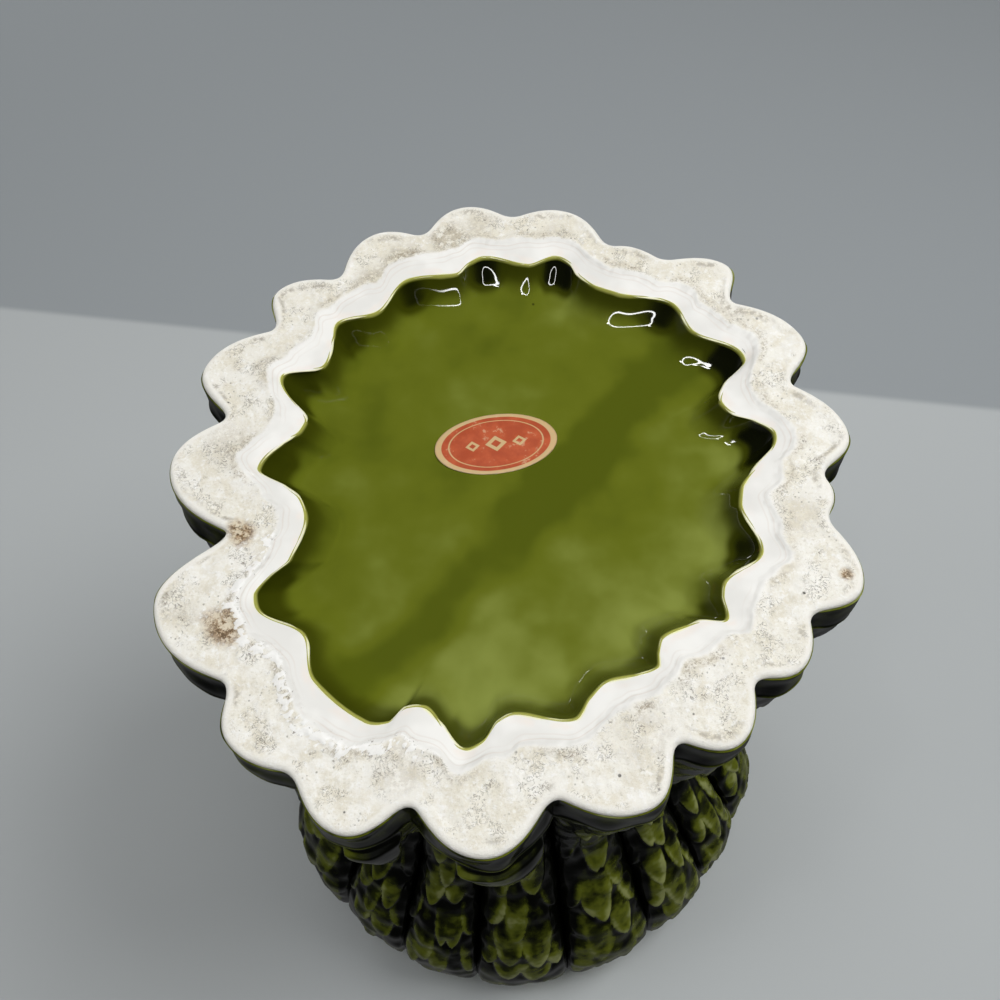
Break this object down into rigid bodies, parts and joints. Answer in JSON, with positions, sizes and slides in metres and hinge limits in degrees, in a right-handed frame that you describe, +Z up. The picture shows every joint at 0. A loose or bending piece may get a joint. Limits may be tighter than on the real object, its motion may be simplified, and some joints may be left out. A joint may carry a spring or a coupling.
{
  "type": "asparagus vase",
  "caption": "Waisted glazed earthenware vase moulded as a bundle of asparagus spears, with an open mouth, a recessed base, an unglazed scalloped foot ring and a plain oval label.",
  "frame": {"origin": "centre of the underside, in the plane that the foot ring stands on", "axes": "+Z up through the mouth, upright as the vase is used; +Y towards the side that is furthest from the camera in the picture, where the vase stands upside down"},
  "size_m": [0.1493, 0.1523, 0.19],
  "materials": {
    "bisque": "matt unglazed earthenware",
    "green_glaze": "glossy olive green glaze",
    "label_paper": "semi-matt printed paper"
  },
  "bodies": {
    "root": {"foot_ring": "bisque", "vessel_floor": "green_glaze", "vessel_wall": "green_glaze", "spear_01": "green_glaze", "spear_02": "green_glaze", "spear_03": "green_glaze", "spear_04": "green_glaze", "spear_05": "green_glaze", "spear_06": "green_glaze", "spear_07": "green_glaze", "spear_08": "green_glaze", "spear_09": "green_glaze", "spear_10": "green_glaze", "spear_11": "green_glaze", "spear_12": "green_glaze", "spear_13": "green_glaze", "spear_14": "green_glaze", "spear_15": "green_glaze", "spear_16": "green_glaze", "spear_17": "green_glaze", "spear_18": "green_glaze", "spear_19": "green_glaze", "label": "label_paper"}
  },
  "joints": []
}
